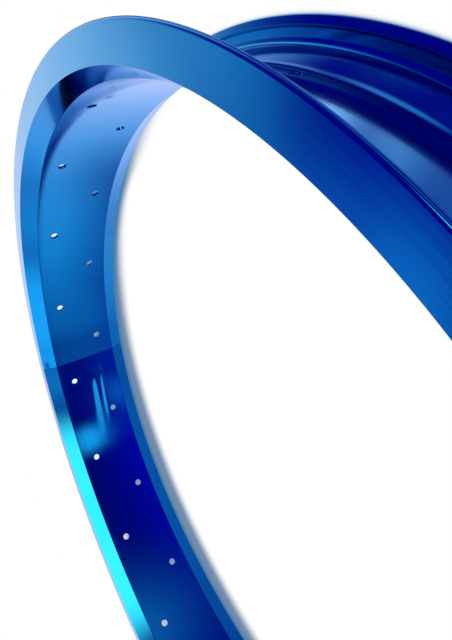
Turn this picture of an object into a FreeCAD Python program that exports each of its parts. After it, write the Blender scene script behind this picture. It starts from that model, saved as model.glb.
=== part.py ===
"""Wide single-wall bicycle rim: a rolled and butted aluminium hoop, 36 spoke holes in two rows.

Millimetres. The wheel's centre is the origin and its axle runs along Z, so the rim lies flat.
"""
import FreeCAD, Part
import math
import os

# Tyre seat and depth of the section, measured along the wheel's radius
bead_seat_d = 405.8     # diameter that the tyre's beads sit on (20 inch)
flange_h = 8.4          # edge of the rim above the bead seat
well_depth = 6.15       # tyre side of the spoke bed below the bead seat
bed_wall = 1.75         # thickness of the spoke bed
shoulder_rise = 4.15    # how far the sloping shoulder climbs from the spoke bed to the side wall

# Widths of the section, measured along the axle
rim_width = 67.0        # over both side walls
bed_width = 48.0        # flat spoke bed, hub side
floor_width = 37.8      # flat floor of the well, tyre side
flange_t = 1.8          # side wall above the bead seat
hook_t = 2.6            # side wall at the hook that holds the tyre's bead
hook_drop = 3.0         # the hook's peak below the edge of the rim
edge_lean = 1.0         # how far the hook leans back from its peak to the edge

# Bends and broken corners of the extruded profile
well_bend = 12.0        # radius from the floor of the well into the bead shelf
edge_break = 0.8        # outer corner of the edge

# Drilling
spoke_holes = 36        # both rows together, rows staggered by half a pitch
spoke_hole_d = 4.4
row_gap = 25.5          # between the two rows, along the axle
valve_hole_d = 8.5

# Butt joint of the rolled hoop, on the -X side. The valve hole is opposite, on the +X side.
seam_w = 0.35           # width of the fine groove that is left at the joint
seam_depth = 0.3

bead_r = bead_seat_d / 2
edge_r = bead_r + flange_h
floor_r = bead_r - well_depth
bed_r = floor_r - bed_wall
side_z = rim_width / 2
inner_z = side_z - flange_t
hook_z = side_z - hook_t
hook_r = edge_r - hook_drop
hook_lead = hook_t - flange_t

# Half of the profile in the (radius, axle) plane, from the middle of the well round to the
# middle of the spoke bed: (radius, axle, rounding) of each corner, the rest is straight.
corners = [
    (floor_r, floor_width / 2, well_bend),
    (bead_r, inner_z, 0.0),
    (hook_r - hook_lead, inner_z, 0.0),
    (hook_r, hook_z, 0.0),
    (edge_r, hook_z + edge_lean, 0.0),
    (edge_r, side_z - edge_break, 0.0),
    (edge_r - edge_break, side_z, 0.0),
    (bed_r + shoulder_rise, side_z, 0.0),
    (bed_r, bed_width / 2, 0.0),
]


def vec(p):
    return FreeCAD.Vector(p[0], 0, p[1])


def rounded_wire(points):
    """Closed wire through the corner points, with a tangent arc at each rounded corner."""
    n = len(points)
    spans = []
    for i in range(n):
        here = vec(points[i])
        before = (vec(points[i - 1]) - here).normalize()
        after = (vec(points[(i + 1) % n]) - here).normalize()
        radius = points[i][2]
        if radius == 0:
            spans.append((here, None, here))
            continue
        half = before.getAngle(after) / 2
        reach = radius / math.tan(half)
        bisector = (before + after).normalize()
        middle = here + bisector * (radius / math.sin(half) - radius)
        spans.append((here + before * reach, middle, here + after * reach))
    edges = []
    for i in range(n):
        start, middle, end = spans[i]
        if middle is not None:
            edges.append(Part.Arc(start, middle, end).toShape())
        edges.append(Part.makeLine(end, spans[(i + 1) % n][0]))
    return Part.Wire(edges)


upper = corners
lower = [(r, -z, rounding) for r, z, rounding in reversed(corners)]
profile = rounded_wire(upper + lower)
section = Part.Face(profile)
axle = FreeCAD.Vector(0, 0, 1)
origin = FreeCAD.Vector(0, 0, 0)

# The bar is rolled into a hoop whose two ends meet at the joint. A fine groove is left there all
# round the profile, so between the ends only the core of the profile closes the ring.
seam_angle = math.degrees(seam_w / bed_r)
bar = section.copy()
bar.rotate(origin, axle, 180 + seam_angle / 2)
hoop = bar.revolve(origin, axle, 360 - seam_angle)
joint = Part.Face(profile.makeOffset2D(-seam_depth))
joint.rotate(origin, axle, 180 - seam_angle / 2)
rim = hoop.fuse(joint.revolve(origin, axle, seam_angle))


def radial_hole(diameter, z, angle):
    """Cutter for a hole along the wheel's radius, through the spoke bed only."""
    over = bed_wall
    out = FreeCAD.Vector(math.cos(math.radians(angle)), math.sin(math.radians(angle)), 0)
    start = out * (bed_r - over) + FreeCAD.Vector(0, 0, z)
    return Part.makeCylinder(diameter / 2, bed_wall + 2 * over, start, out)


pitch = 360.0 / spoke_holes
cutters = []
for k in range(spoke_holes):
    row = -1 if k % 2 else 1
    cutters.append(radial_hole(spoke_hole_d, row * row_gap / 2, (k + 0.5) * pitch))
cutters.append(radial_hole(valve_hole_d, 0, 0))
rim = rim.cut(cutters)

os.makedirs("parts", exist_ok=True)
rim.exportStep("parts/rim.step")
print("rim valid", rim.isValid(), "solids", len(rim.Solids), "volume cm3", round(rim.Volume / 1000, 1))
print("box", rim.BoundBox)
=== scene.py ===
"""Looks of the wide bicycle rim: a fine mesh of the hoop, blue anodised aluminium, white studio."""
import math

import bpy
from mathutils import Matrix, Vector
from mathutils.geometry import delaunay_2d_cdt


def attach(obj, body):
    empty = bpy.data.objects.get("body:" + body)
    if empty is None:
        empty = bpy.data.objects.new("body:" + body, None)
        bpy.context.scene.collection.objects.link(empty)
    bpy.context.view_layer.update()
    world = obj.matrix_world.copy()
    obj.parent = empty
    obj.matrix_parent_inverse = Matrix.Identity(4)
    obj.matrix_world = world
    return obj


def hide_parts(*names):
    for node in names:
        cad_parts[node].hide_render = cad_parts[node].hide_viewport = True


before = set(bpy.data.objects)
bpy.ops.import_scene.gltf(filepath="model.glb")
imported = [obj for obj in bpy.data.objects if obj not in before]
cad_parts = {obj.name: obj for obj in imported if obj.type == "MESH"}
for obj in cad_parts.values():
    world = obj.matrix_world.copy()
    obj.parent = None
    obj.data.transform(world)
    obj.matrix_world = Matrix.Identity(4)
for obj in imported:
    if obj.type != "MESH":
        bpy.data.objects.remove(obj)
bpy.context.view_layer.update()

MM = 0.001

# Driving sizes of the hoop in millimetres, the same values as the CAD part
BEAD_SEAT_D = 405.8
FLANGE_H = 8.4
WELL_DEPTH = 6.15
BED_WALL = 1.75
SHOULDER_RISE = 4.15
RIM_WIDTH = 67.0
BED_WIDTH = 48.0
FLOOR_WIDTH = 37.8
FLANGE_T = 1.8
HOOK_T = 2.6
HOOK_DROP = 3.0
EDGE_LEAN = 1.0
WELL_BEND = 12.0
SPOKE_HOLES = 36
SPOKE_HOLE_D = 4.4
ROW_GAP = 25.5
VALVE_HOLE_D = 8.5
SEAM_W = 0.35
SEAM_DEPTH = 0.3

# Radii, half widths and angles that follow from them
BEAD_R = BEAD_SEAT_D / 2
EDGE_R = BEAD_R + FLANGE_H
FLOOR_R = BEAD_R - WELL_DEPTH
BED_R = FLOOR_R - BED_WALL
SHOULDER_R = BED_R + SHOULDER_RISE
HOOK_R = EDGE_R - HOOK_DROP
HOOK_LEAD = HOOK_T - FLANGE_T
SIDE_Z = RIM_WIDTH / 2
INNER_Z = SIDE_Z - FLANGE_T
HOOK_Z = SIDE_Z - HOOK_T
BED_Z = BED_WIDTH / 2
FLOOR_Z = FLOOR_WIDTH / 2
ROW_Z = ROW_GAP / 2
SPOKE_R = SPOKE_HOLE_D / 2
VALVE_R = VALVE_HOLE_D / 2
PAIRS = SPOKE_HOLES // 2
SECTOR = 360.0 / PAIRS      # degrees that hold one hole of each row
JOINT = 180                 # degrees from the valve hole to the butt joint
SEAM_HALF = math.degrees(SEAM_W / 2 / BED_R)

# Upper half of the profile, from the well to the spoke bed: each corner's radius and height,
# its rounding and the steps round it
CORNERS = [
    (FLOOR_R, FLOOR_Z, WELL_BEND, 10),
    (BEAD_R, INNER_Z, 3.0, 9),
    (HOOK_R - HOOK_LEAD, INNER_Z, 0.5, 3),
    (HOOK_R, HOOK_Z, 0.6, 5),
    (EDGE_R, HOOK_Z + EDGE_LEAN, 0.6, 6),
    (EDGE_R, SIDE_Z, 1.0, 7),
    (SHOULDER_R, SIDE_Z, 0.03, 2),
    (BED_R, BED_Z, 0.8, 4),
]

# Net of the drilled flats
NET = 3.0                   # spacing across the flats
SPOKE_SIDES = 32
VALVE_SIDES = 40
BURR = 0.12                 # broken edge of each hole
BURR_TILT = 0.7             # radial share of the broken edge's normal
COLLAR = 1.3                # a ring of points round each hole, in radii
CLEAR = 1.5                 # the net keeps this far from a hole, in radii
IN_HOLE = 0.995             # faces with their middle nearer than this are left out, in radii

# Butt joint: slopes of the groove, and the ends of the bar, which stay straighter than the roll
SEAM_OUT = 0.6
SEAM_ALONG = 0.8
END_REACH = 5.0             # degrees on each side of the joint
END_SHARE = 0.8             # share of the bend that is missing there

# Limits within which two values count as the same
SAME = 1e-6
POINT_DIGITS = 4
NET_DIGITS = 5


def turn_is_convex(pts, i):
    """True where the outline's corner i sticks out of the metal."""
    p, q, r = pts[i - 1], pts[i], pts[(i + 1) % len(pts)]
    cross = (q[0] - p[0]) * (r[1] - q[1]) - (q[1] - p[1]) * (r[0] - q[0])
    area = 0.0
    for a, b in zip(pts, pts[1:] + pts[:1]):
        area += a[0] * b[1] - b[0] * a[1]
    return cross * area > 0


def profile_points():
    """Points (r, z, normal r, normal z) round the profile: well, upper edge, spoke bed, lower edge."""
    pts = CORNERS + [(r, -z, rounding, n) for r, z, rounding, n in reversed(CORNERS)]
    out = []
    for i, (r, z, rounding, n) in enumerate(pts):
        here = Vector((r, z))
        a = (Vector(pts[i - 1][:2]) - here).normalized()
        b = (Vector(pts[(i + 1) % len(pts)][:2]) - here).normalized()
        half = a.angle(b) / 2
        reach = rounding / math.tan(half)
        centre = here + (a + b).normalized() * (rounding / math.sin(half))
        first = here + a * reach - centre
        last = here + b * reach - centre
        turn = first.angle_signed(last)
        bulge = 1.0 if turn_is_convex(pts, i) else -1.0
        for k in range(n + 1):
            t = -turn * k / n
            d = Vector((
                first.x * math.cos(t) - first.y * math.sin(t),
                first.x * math.sin(t) + first.y * math.cos(t),
            ))
            p = centre + d
            normal = d.normalized() * bulge
            out.append((p.x, p.y, normal.x, normal.y))
    return out


class Builder:
    """Collects shared vertices, faces and a normal for each face corner, in millimetres."""

    def __init__(self):
        self.index = {}
        self.points = []
        self.faces = []
        self.normals = []

    def vertex(self, p):
        key = tuple(round(c, POINT_DIGITS) for c in p)
        if key not in self.index:
            self.index[key] = len(self.points)
            self.points.append(p)
        return self.index[key]

    def face(self, corners):
        """corners: (point, normal) pairs. The winding follows the normals."""
        a, b, c = (Vector(corners[i][0]) for i in (0, 1, 2))
        mean = Vector((0, 0, 0))
        for _, n in corners:
            mean += Vector(n)
        if (b - a).cross(c - a).dot(mean) < 0:
            corners = corners[::-1]
        ids = [self.vertex(p) for p, _ in corners]
        if len(set(ids)) < 3:
            return
        self.faces.append(ids)
        self.normals.append([n for _, n in corners])


def polar(angle, r, z):
    t = math.radians(angle)
    return (r * math.cos(t), r * math.sin(t), z)


def turned(angle, nr, nt, nz):
    """Vector from its radial, tangential and axial shares at an angle round the axle."""
    t = math.radians(angle)
    return (nr * math.cos(t) - nt * math.sin(t), nr * math.sin(t) + nt * math.cos(t), nz)


def angle_list():
    """One turn in steps of a degree, with the groove's two edges in place of the joint itself."""
    start = -round(SECTOR / 2)
    angles = []
    for d in range(start, start + 361):
        if d == JOINT:
            angles += [JOINT - SEAM_HALF, JOINT + SEAM_HALF]
        else:
            angles.append(float(d))
    return angles


def steps(low, high, size):
    n = max(1, round((high - low) / size))
    return [low + (high - low) * i / n for i in range(n + 1)]


def cell(build, angles, radius, outward, zs, holes):
    """A patch of a cylinder between the first and last angle, with round holes left out."""
    k = radius * math.pi / 180
    coords = []
    edges = []
    seen = {}

    def add(u, v):
        key = (round(u, NET_DIGITS), round(v, NET_DIGITS))
        if key not in seen:
            seen[key] = len(coords)
            coords.append(Vector((u, v)))
        return seen[key]

    def loop(ids):
        for a, b in zip(ids, ids[1:] + ids[:1]):
            edges.append((a, b))

    us = [a * k for a in angles]
    border = [add(u, zs[0]) for u in us]
    border += [add(us[-1], z) for z in zs[1:]]
    border += [add(u, zs[-1]) for u in us[-2::-1]]
    border += [add(us[0], z) for z in zs[-2:0:-1]]
    loop(border)
    for angle, z, r, n in holes:
        lip = r + BURR
        ids = []
        for i in range(n):
            t = 2 * math.pi * i / n
            ids.append(add(angle * k + lip * math.cos(t), z + lip * math.sin(t)))
        loop(ids)
        collar = lip * COLLAR
        if abs(z) + collar < zs[-1]:
            for i in range(n // 2):
                t = 2 * math.pi * (i + 0.5) / (n // 2)
                add(angle * k + collar * math.cos(t), z + collar * math.sin(t))
    for u in us[1:-1]:
        for z in zs[1:-1]:
            if all(math.hypot(u - a * k, z - hz) > (r + BURR) * CLEAR for a, hz, r, n in holes):
                add(u, z)
    verts, _, faces, _, _, _ = delaunay_2d_cdt(coords, edges, [], 0, SAME)
    sign = 1.0 if outward else -1.0
    for f in faces:
        u = sum(verts[i].x for i in f) / len(f)
        v = sum(verts[i].y for i in f) / len(f)
        if any(math.hypot(u - a * k, v - z) < (r + BURR) * IN_HOLE for a, z, r, n in holes):
            continue
        corners = []
        for i in f:
            angle = verts[i].x / k
            corners.append((polar(angle, radius, verts[i].y), turned(angle, sign, 0, 0)))
        build.face(corners)


def hole_wall(build, angle, z, r, n):
    """Wall of a drilled hole with a broken edge at both ends."""
    rings = [
        (BED_R, r + BURR),
        (BED_R + BURR, r),
        (FLOOR_R - BURR, r),
        (FLOOR_R, r + BURR),
    ]
    tilts = (-BURR_TILT, 0.0, BURR_TILT)
    for (ra, wa), (rb, wb), tilt in zip(rings, rings[1:], tilts):
        for i in range(n):
            quad = []
            for ring_r, w, step in ((ra, wa, i), (ra, wa, i + 1), (rb, wb, i + 1), (rb, wb, i)):
                t = 2 * math.pi * (step % n) / n
                spot = angle + math.degrees(w * math.cos(t) / ring_r)
                p = polar(spot, ring_r, z + w * math.sin(t))
                inward = Vector((tilt, -math.cos(t), -math.sin(t))).normalized()
                quad.append((p, turned(spot, inward.x, inward.y, inward.z)))
            build.face(quad)


def gap(p, q):
    return math.hypot(p[0] - q[0], p[1] - q[1])


def is_flat(p, q, radius):
    """True for the profile's step that crosses a drilled flat."""
    return abs(p[0] - radius) < SAME and abs(q[0] - radius) < SAME and p[1] * q[1] < 0


def flat_end(prof, radius):
    return max(p[1] for p in prof if abs(p[0] - radius) < SAME)


def sweep(build, prof, angles):
    """Everything but the two drilled flats, swept round the axle."""
    for p, q in zip(prof, prof[1:] + prof[:1]):
        if is_flat(p, q, BED_R) or is_flat(p, q, FLOOR_R) or gap(p, q) < SAME:
            continue
        for a, b in zip(angles, angles[1:]):
            if a < JOINT < b:
                continue
            build.face([
                (polar(a, p[0], p[1]), turned(a, p[2], 0, p[3])),
                (polar(b, p[0], p[1]), turned(b, p[2], 0, p[3])),
                (polar(b, q[0], q[1]), turned(b, q[2], 0, q[3])),
                (polar(a, q[0], q[1]), turned(a, q[2], 0, q[3])),
            ])


def drilled_flats(build, angles, bed_zs, floor_zs):
    """Spoke bed and well floor, one sector with a hole of each row at a time."""
    for m in range(PAIRS):
        mid = m * SECTOR
        low, high = mid - SECTOR / 2, mid + SECTOR / 2
        sector = [a for a in angles if low - SAME <= a <= high + SAME]
        parts = [sector]
        if low < JOINT < high:
            parts = [[a for a in sector if a < JOINT], [a for a in sector if a > JOINT]]
        holes = [
            (mid + SECTOR / 4, ROW_Z, SPOKE_R, SPOKE_SIDES),
            (mid - SECTOR / 4, -ROW_Z, SPOKE_R, SPOKE_SIDES),
        ]
        if m == 0:
            holes.append((0.0, 0.0, VALVE_R, VALVE_SIDES))
        for part in parts:
            mine = [h for h in holes if part[0] < h[0] < part[-1]]
            cell(build, part, BED_R, False, bed_zs, mine)
            cell(build, part, FLOOR_R, True, floor_zs, mine)
        for h in holes:
            hole_wall(build, *h)


def seam_groove(build, prof, bed_zs, floor_zs):
    """Fine groove at the butt joint: the outline sinks to a line below the surface and comes back."""
    outline = []
    for p, q in zip(prof, prof[1:] + prof[:1]):
        outline.append(p)
        for radius, zs in ((BED_R, bed_zs), (FLOOR_R, floor_zs)):
            if is_flat(p, q, radius):
                inner = zs[1:-1] if q[1] > p[1] else zs[-2:0:-1]
                outline += [(radius, z, p[2], p[3]) for z in inner]
    for side in (-1, 1):
        edge = JOINT + side * SEAM_HALF
        for p, q in zip(outline, outline[1:] + outline[:1]):
            if gap(p, q) < SAME:
                continue
            ends = ((p, edge, 0), (q, edge, 0), (q, JOINT, SEAM_DEPTH), (p, JOINT, SEAM_DEPTH))
            quad = []
            for o, angle, depth in ends:
                n = Vector((o[2] * SEAM_OUT, -side * SEAM_ALONG, o[3] * SEAM_OUT)).normalized()
                pos = polar(angle, o[0] - o[2] * depth, o[1] - o[3] * depth)
                quad.append((pos, turned(angle, n.x, n.y, n.z)))
            build.face(quad)


def joint_offset(angle):
    """Radial offset of the bar's ends near the joint: millimetres, and millimetres per degree."""
    d = angle - JOINT
    u = END_REACH - abs(d)
    if u <= 0:
        return 0.0, 0.0
    curve = BED_R * math.radians(1.0) ** 2 / 2 * END_SHARE
    slope = 2 * curve * u
    return curve * u * u, (-slope if d >= 0 else slope)


def settle_joint(build):
    """Bends the two ends of the bar near the joint and turns the normals with them."""
    angle_of = []
    for i, p in enumerate(build.points):
        angle = math.degrees(math.atan2(p[1], p[0])) % 360
        angle_of.append(angle)
        d, _ = joint_offset(angle)
        if d:
            r = math.hypot(p[0], p[1])
            k = (r + d) / r
            build.points[i] = (p[0] * k, p[1] * k, p[2])
    for ids, normals in zip(build.faces, build.normals):
        for j, v in enumerate(ids):
            _, slope = joint_offset(angle_of[v])
            if slope:
                t = math.radians(angle_of[v])
                n = normals[j]
                nr = n[0] * math.cos(t) + n[1] * math.sin(t)
                nt = -n[0] * math.sin(t) + n[1] * math.cos(t)
                tilt = slope / (BED_R * math.radians(1.0))
                bent = Vector((nr + nt * tilt, nt - nr * tilt, n[2])).normalized()
                normals[j] = turned(angle_of[v], bent.x, bent.y, bent.z)


def hoop_mesh():
    build = Builder()
    prof = profile_points()
    angles = angle_list()
    bed_zs = steps(-flat_end(prof, BED_R), flat_end(prof, BED_R), NET)
    floor_zs = steps(-flat_end(prof, FLOOR_R), flat_end(prof, FLOOR_R), NET)
    sweep(build, prof, angles)
    drilled_flats(build, angles, bed_zs, floor_zs)
    seam_groove(build, prof, bed_zs, floor_zs)
    settle_joint(build)
    return build


def to_object(name, build):
    mesh = bpy.data.meshes.new(name)
    mesh.from_pydata([[c * MM for c in p] for p in build.points], [], build.faces)
    mesh.polygons.foreach_set("use_smooth", [True] * len(mesh.polygons))
    mesh.update()
    mesh.normals_split_custom_set([n for normals in build.normals for n in normals])
    obj = bpy.data.objects.new(name, mesh)
    bpy.context.scene.collection.objects.link(obj)
    return obj


rim = to_object("anodised_hoop", hoop_mesh())
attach(rim, "root")
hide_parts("rim")


# Shared helpers for shader nodes. A number is set on a node's socket, anything else is linked to it
def math_node(nt, op, *values):
    node = nt.nodes.new("ShaderNodeMath")
    node.operation = op
    for socket, value in zip(node.inputs, values):
        if isinstance(value, (int, float)):
            socket.default_value = value
        else:
            nt.links.new(value, socket)
    return node.outputs[0]


def times(nt, a, b):
    return math_node(nt, "MULTIPLY", a, b)


def minus(nt, a, b):
    return math_node(nt, "SUBTRACT", a, b)


def plus(nt, first, *others):
    out = first
    for value in others:
        out = math_node(nt, "ADD", out, value)
    return out


def greatest(nt, a, b):
    return math_node(nt, "MAXIMUM", a, b)


def squares(nt, x, y):
    return plus(nt, times(nt, x, x), times(nt, y, y))


def distance(nt, x, y, centre=(0.0, 0.0)):
    """Distance of x, y from a centre."""
    return math_node(nt, "SQRT", squares(nt, minus(nt, x, centre[0]), minus(nt, y, centre[1])))


def bell(nt, q):
    """1 at q = 0, falling off to 0."""
    return math_node(nt, "EXPONENT", times(nt, q, -1.0))


def smooth(nt, value, low, high):
    """Soft step from 0 at low to 1 at high."""
    node = nt.nodes.new("ShaderNodeMapRange")
    node.interpolation_type = "SMOOTHSTEP"
    node.inputs["From Min"].default_value = low
    node.inputs["From Max"].default_value = high
    nt.links.new(value, node.inputs["Value"])
    return node.outputs["Result"]


def fall(nt, value, low, high):
    """Soft step from 1 at low to 0 at high."""
    return minus(nt, 1.0, smooth(nt, value, low, high))


def position(nt):
    """Object coordinates in metres: x, y, z."""
    coord = nt.nodes.new("ShaderNodeTexCoord")
    split = nt.nodes.new("ShaderNodeSeparateXYZ")
    nt.links.new(coord.outputs["Object"], split.inputs[0])
    return split.outputs["X"], split.outputs["Y"], split.outputs["Z"]


def noise(nt, x, y, z, detail):
    """Noise of size 1 at the given coordinates."""
    join = nt.nodes.new("ShaderNodeCombineXYZ")
    for socket, value in zip(join.inputs, (x, y, z)):
        nt.links.new(value, socket)
    node = nt.nodes.new("ShaderNodeTexNoise")
    node.inputs["Scale"].default_value = 1.0
    node.inputs["Detail"].default_value = detail
    nt.links.new(join.outputs[0], node.inputs["Vector"])
    return node.outputs["Fac"]


def mix_node(nt, kind, factor, a, b):
    """Mix of two colours or two vectors, each a linked socket or a constant."""
    node = nt.nodes.new("ShaderNodeMix")
    node.data_type = kind
    nt.links.new(factor, node.inputs["Factor"])
    for name, value in (("A", a), ("B", b)):
        socket = [s for s in node.inputs if s.name == name and s.type == kind][0]
        if isinstance(value, tuple):
            socket.default_value = value
        else:
            nt.links.new(value, socket)
    return [s for s in node.outputs if s.type == kind][0]


def to_the_eye(nt, output, seen, unseen):
    """Gives one shader to camera rays and another to all others."""
    out = nt.nodes.new(output)
    mix = nt.nodes.new("ShaderNodeMixShader")
    path = nt.nodes.new("ShaderNodeLightPath")
    nt.links.new(path.outputs["Is Camera Ray"], mix.inputs["Fac"])
    nt.links.new(unseen, mix.inputs[1])
    nt.links.new(seen, mix.inputs[2])
    nt.links.new(mix.outputs[0], out.inputs["Surface"])


# Marks on the metal, in millimetres: place along the bed from the joint and along the axle,
# half length, half width, and turn in degrees
WORN = [
    (39.5, -1.5, 24.0, 3.2, 4.4),
    (36.6, -8.3, 22.5, 1.9, 4.6),
]
WORN_FLAT = (0.949, 0.3137, 0.0267)     # normal of the small flats that wear has left
SMUDGED = [
    (-3.0, 30.4, 3.0, 1.6, 0.0),
    (118.0, -31.5, 1.6, 0.6, 20.0),
    (127.0, -29.5, 1.4, 0.5, 40.0),
    (131.0, -27.5, 1.2, 0.5, 10.0),
    (-267.0, 9.0, 3.0, 2.0, 0.0),
]
MARK_DEPTH = 0.9                        # marks lie on the hub side, this close to its surface
MARK_ENDS = 4.0                         # power that makes the ends of a mark blunt

# Blue dyed oxide: its range of colour, and its gloss
DYE_DEEP = (0.004, 0.26, 0.58, 1)
DYE_LIGHT = (0.010, 0.34, 0.66, 1)
DYE_SMUDGED = (0.004, 0.14, 0.38, 1)
GLOSS_ROUGH = 0.07
LINE_ROUGH = 0.05
SMUDGE_ROUGH = 0.2
CLOUDS = 30.0                           # soft changes of colour per metre
CLOUD_DETAIL = 2.0
LINES_ALONG = 0.02                      # draw lines per millimetre
LINES_ACROSS = 1.3
LINE_DETAIL = 3.0
LINE_STRENGTH = 0.04
LINE_HEIGHT = 0.0002


def marks(nt, along, across, spots):
    """Sum of soft-edged marks."""
    lobes = []
    for s0, z0, length, width, turn in spots:
        ds = minus(nt, along, s0)
        dz = minus(nt, across, z0)
        c = math.cos(math.radians(turn))
        s = math.sin(math.radians(turn))
        a = plus(nt, times(nt, ds, c / length), times(nt, dz, s / length))
        b = minus(nt, times(nt, dz, c / width), times(nt, ds, s / width))
        lobes.append(bell(nt, plus(nt, math_node(nt, "POWER", a, MARK_ENDS), times(nt, b, b))))
    return math_node(nt, "MINIMUM", plus(nt, *lobes), 1.0)


def worn_normal(nt, worn):
    """The surface's normal, turned to that of a small flat where the bed is worn."""
    surface = nt.nodes.new("ShaderNodeNewGeometry")
    unit = nt.nodes.new("ShaderNodeVectorMath")
    unit.operation = "NORMALIZE"
    nt.links.new(mix_node(nt, "VECTOR", worn, surface.outputs["Normal"], WORN_FLAT), unit.inputs[0])
    return unit.outputs[0]


def on_hub_side(nt, across, depth):
    """1 on the spoke bed and the hub side of its shoulders, 0 elsewhere."""
    slope = SHOULDER_RISE / (SIDE_Z - BED_Z)
    beyond_bed = greatest(nt, minus(nt, math_node(nt, "ABSOLUTE", across), BED_Z), 0.0)
    return math_node(nt, "LESS_THAN", minus(nt, depth, times(nt, beyond_bed, slope)), BED_R + MARK_DEPTH)


def anodised():
    """Blue dyed oxide on drawn and rolled aluminium."""
    mat = bpy.data.materials.new("blue_anodised")
    mat.use_nodes = True
    nt = mat.node_tree
    bsdf = nt.nodes["Principled BSDF"]
    x, y, z = position(nt)
    turn = math_node(nt, "ARCTAN2", times(nt, y, -1.0), times(nt, x, -1.0))
    along = times(nt, turn, BED_R)
    across = times(nt, z, 1 / MM)
    depth = times(nt, distance(nt, x, y), 1 / MM)

    # Draw lines run along the bar: long in one direction, under a millimetre across
    lines = noise(nt, times(nt, along, LINES_ALONG), times(nt, across, LINES_ACROSS),
                  times(nt, depth, LINES_ACROSS), LINE_DETAIL)
    cloud = noise(nt, times(nt, x, CLOUDS), times(nt, y, CLOUDS), times(nt, z, CLOUDS), CLOUD_DETAIL)
    hub_side = on_hub_side(nt, across, depth)
    worn = times(nt, marks(nt, along, across, WORN), hub_side)
    smudged = times(nt, marks(nt, along, across, SMUDGED), hub_side)

    dye = mix_node(nt, "RGBA", cloud, DYE_DEEP, DYE_LIGHT)
    nt.links.new(mix_node(nt, "RGBA", smudged, dye, DYE_SMUDGED), bsdf.inputs["Base Color"])
    bsdf.inputs["Metallic"].default_value = 1.0
    rough = plus(nt, times(nt, lines, LINE_ROUGH), times(nt, smudged, SMUDGE_ROUGH), GLOSS_ROUGH)
    nt.links.new(rough, bsdf.inputs["Roughness"])
    bump = nt.nodes.new("ShaderNodeBump")
    bump.inputs["Strength"].default_value = LINE_STRENGTH
    bump.inputs["Distance"].default_value = LINE_HEIGHT
    nt.links.new(lines, bump.inputs["Height"])
    nt.links.new(worn_normal(nt, worn), bump.inputs["Normal"])
    nt.links.new(bump.outputs["Normal"], bsdf.inputs["Normal"])
    return mat


rim.data.materials.append(anodised())

# Shade of the hoop on the white paper that it lies on, in metres and degrees round the axle:
# a sickle inside the far wall, a band just behind it, a long shade farther back and a line at the foot
INSIDE_SHIFT = (0.0295, 0.0239)
INSIDE_EDGE = (0.193, 0.217)
BEHIND_AZIMUTH = 187.0
BEHIND_EDGE = (0.25, 0.335)
BEHIND_SPREAD = (0.5, 0.75)             # cosine of the angle from that azimuth
LONG_SHIFT = (-0.137, -0.203)
LONG_EDGE = (0.196, 0.238)
LONG_FADE = (0.23, 0.46)
LONG_STRENGTH = (0.95, 0.62)            # near the hoop and far from it
FOOT_REACH = 0.012
FOOT_SAMPLES = 16
FOOT_OPEN = (0.3, 0.9)
FOOT_EDGE = (0.186, 0.208)
FOOT_R = (SHOULDER_R + EDGE_R) / 2 * MM     # under the lower side wall, where inside meets outside
SHADE = (0.17, 0.26, 0.41, 1)
FOOT_SHADE = (0.06, 0.20, 0.38, 1)
WHITE = (1, 1, 1, 1)
PAPER = (0.8, 0.8, 0.8, 1)
FLOOR_HALF = 4.0


def shade_behind(nt, x, y, radius):
    """Band behind the far wall and the long shade beyond it."""
    facing = turned(BEHIND_AZIMUTH, 1, 0, 0)
    toward = math_node(nt, "DIVIDE", plus(nt, times(nt, x, facing[0]), times(nt, y, facing[1])), radius)
    band = times(nt, fall(nt, radius, *BEHIND_EDGE), smooth(nt, toward, *BEHIND_SPREAD))
    near, away = LONG_STRENGTH
    strength = minus(nt, near, times(nt, smooth(nt, radius, *LONG_FADE), near - away))
    far = times(nt, fall(nt, distance(nt, x, y, LONG_SHIFT), *LONG_EDGE), strength)
    return greatest(nt, band, far)


def white_paper():
    """Floor: white to the eye, grey-blue at the foot of the hoop and where the hoop shades it."""
    mat = bpy.data.materials.new("floor_paper")
    mat.use_nodes = True
    nt = mat.node_tree
    nt.nodes.clear()
    x, y, _ = position(nt)
    radius = distance(nt, x, y)
    from_shift = distance(nt, x, y, INSIDE_SHIFT)
    inside = math_node(nt, "LESS_THAN", radius, FOOT_R)
    outside = math_node(nt, "GREATER_THAN", radius, FOOT_R)
    shade = plus(nt, times(nt, inside, smooth(nt, from_shift, *INSIDE_EDGE)),
                 times(nt, outside, shade_behind(nt, x, y, radius)))

    foot = nt.nodes.new("ShaderNodeAmbientOcclusion")
    foot.samples = FOOT_SAMPLES
    foot.inputs["Distance"].default_value = FOOT_REACH
    lamp_side = times(nt, inside, fall(nt, from_shift, *FOOT_EDGE))
    open_sky = greatest(nt, smooth(nt, foot.outputs["AO"], *FOOT_OPEN), lamp_side)

    seen = nt.nodes.new("ShaderNodeEmission")
    paper = nt.nodes.new("ShaderNodeBsdfDiffuse")
    paper.inputs["Color"].default_value = PAPER
    colour = mix_node(nt, "RGBA", open_sky, FOOT_SHADE, mix_node(nt, "RGBA", shade, WHITE, SHADE))
    nt.links.new(colour, seen.inputs["Color"])
    to_the_eye(nt, "ShaderNodeOutputMaterial", seen.outputs[0], paper.outputs[0])
    return mat


def floor():
    z = -SIDE_Z * MM
    corners = [(-1, -1), (1, -1), (1, 1), (-1, 1)]
    mesh = bpy.data.meshes.new("floor")
    mesh.from_pydata([(a * FLOOR_HALF, b * FLOOR_HALF, z) for a, b in corners], [], [(0, 1, 2, 3)])
    mesh.materials.append(white_paper())
    obj = bpy.data.objects.new("floor", mesh)
    bpy.context.scene.collection.objects.link(obj)
    obj.visible_glossy = False


floor()

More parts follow.
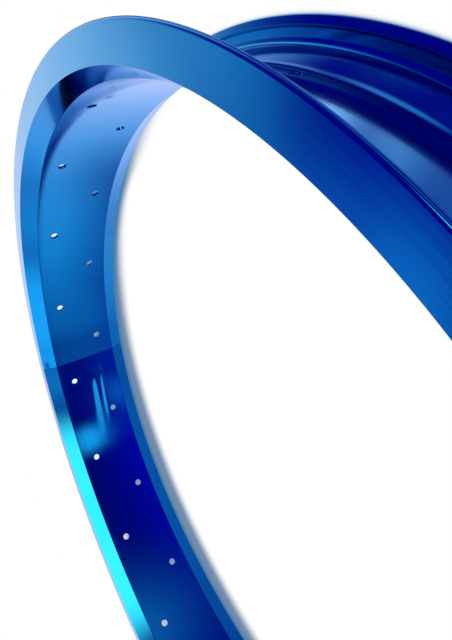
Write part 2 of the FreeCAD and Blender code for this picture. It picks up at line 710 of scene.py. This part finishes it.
# Surroundings that the metal mirrors, as soft patches of light: azimuth, elevation, half width and
# half height in degrees, strength, and hardness of the edge
WINDOW = [
    (182, 14, 32, 18, 1.15, 1.5),
]
HIGH = [
    (172, 37, 10, 7, 0.32, 1.0),
    (190, 38, 10, 4, 0.25, 1.0),
    (216, 49, 17, 6, 0.42, 1.2),
    (197, 44, 9, 3.5, 0.17, 1.0),
    (307, 29, 24, 13, 1.2, 2.0),
    (337, 33, 10, 9, 0.4, 1.0),
]
LEVEL = [
    (236, 6, 27, 14, 0.9, 1.0),
    (272, 18, 18, 9, 0.6, 1.0),
    (136, 4, 24, 12, 0.9, 1.2),
    (75, -6, 16, 6, 0.45, 1.0),
    (264, -13, 36, 8, 0.72, 1.2),
    (300, -11.5, 20, 5, 0.25, 1.0),
    (318, -14, 12, 6, 0.2, 1.0),
    (4.8, -10.8, 5.2, 1.4, 1.45, 2.0),
    (351, -15.5, 6.5, 1.5, 0.32, 1.0),
]
LOW = [
    (211, -28, 34, 22, 1.0, 1.5),
    (262, -50, 42, 13, 0.65, 1.5),
    (20, -60, 110, 12, 0.28, 1.5),
    (110, -52, 14, 3.5, 0.5, 1.0),
    (129, -46, 12, 3.5, 1.05, 1.0),
    (150, -41, 12, 3, 0.8, 1.0),
    (166, -37, 12, 4, 0.4, 1.0),
    (150, -27, 12, 6, 0.4, 1.0),
    (138, -26, 14, 7, 0.5, 1.5),
    (104, -27.5, 15, 7, 0.45, 2.0),
]
LAMP = [
    (33, 38, 43, 13, 3.1, 5.0),
]
DUSK = [
    (20, -25, 60, 12, 0.32, 3.0),
    (15, -5, 70, 7.5, -0.13, 2.0),
    (203, 49, 22, 9, 0.13, 1.5),
]

# Colours of the groups, and each group's patches, light from all round and colour
WARM_DAY = (1.15, 1.0, 0.8, 1)
LAMP_LIGHT = (1.8, 1.0, 0.55, 1)
BLUE_DUSK = (0.0, 0.01, 1.0, 1)
DUSK_ALL_ROUND = 0.31
GROUPS = [
    (WINDOW, 0.0, WARM_DAY),
    (HIGH + LEVEL + LOW, 0.0, WHITE),
    (LAMP, 0.0, LAMP_LIGHT),
    (DUSK, DUSK_ALL_ROUND, BLUE_DUSK),
]


def patch_of_light(nt, az, el, a0, e0, width, height, strength, edge):
    """Light of one patch in the direction az, el."""
    turn = math_node(nt, "WRAP", minus(nt, az, math.radians(a0)), math.pi, -math.pi)
    da = math_node(nt, "DIVIDE", turn, math.radians(width))
    de = math_node(nt, "DIVIDE", minus(nt, el, math.radians(e0)), math.radians(height))
    return times(nt, bell(nt, math_node(nt, "POWER", squares(nt, da, de), edge)), strength)


def room():
    world = bpy.data.worlds.new("room")
    bpy.context.scene.world = world
    world.use_nodes = True
    nt = world.node_tree
    nt.nodes.clear()
    coord = nt.nodes.new("ShaderNodeTexCoord")
    split = nt.nodes.new("ShaderNodeSeparateXYZ")
    nt.links.new(coord.outputs["Generated"], split.inputs[0])
    el = math_node(nt, "ARCSINE", split.outputs["Z"])
    az = math_node(nt, "ARCTAN2", split.outputs["Y"], split.outputs["X"])
    light = None
    for patches, all_round, colour in GROUPS:
        group = nt.nodes.new("ShaderNodeBackground")
        group.inputs["Color"].default_value = colour
        level = plus(nt, *[patch_of_light(nt, az, el, *p) for p in patches])
        nt.links.new(plus(nt, level, all_round), group.inputs["Strength"])
        if light is None:
            light = group.outputs[0]
            continue
        both = nt.nodes.new("ShaderNodeAddShader")
        nt.links.new(light, both.inputs[0])
        nt.links.new(group.outputs[0], both.inputs[1])
        light = both.outputs[0]
    white = nt.nodes.new("ShaderNodeBackground")
    white.inputs["Color"].default_value = WHITE
    to_the_eye(nt, "ShaderNodeOutputWorld", white.outputs[0], light)


room()

# Camera of the photograph, close over the near part of the hoop and strongly rolled
PHOTO_W = 452
PHOTO_H = 640
FOCAL_PX = 493.138
CENTRE_PX = (201.232, 294.016)          # where the camera's axis meets the photograph
SENSOR = 36.0
CAMERA_AT = (0.16963, 0.18487, 0.09672)
CAMERA_RIGHT = (0.53527, -0.10189, -0.83851)
CAMERA_UP = (-0.25365, 0.92749, -0.27463)
CAMERA_BACK = (0.80570, 0.35969, 0.47061)


def photo_camera():
    data = bpy.data.cameras.new("camera")
    camera = bpy.data.objects.new("camera", data)
    bpy.context.scene.collection.objects.link(camera)
    data.sensor_fit = "AUTO"
    data.sensor_width = SENSOR
    data.lens = FOCAL_PX * SENSOR / PHOTO_H
    data.shift_x = (PHOTO_W / 2 - CENTRE_PX[0]) / PHOTO_H
    data.shift_y = (CENTRE_PX[1] - PHOTO_H / 2) / PHOTO_H
    data.clip_start = MM
    axes = Matrix((CAMERA_RIGHT, CAMERA_UP, CAMERA_BACK)).transposed()
    camera.matrix_world = Matrix.Translation(CAMERA_AT) @ axes.to_4x4()
    return camera


bpy.context.scene.camera = photo_camera()
bpy.context.scene.view_settings.view_transform = "Standard"
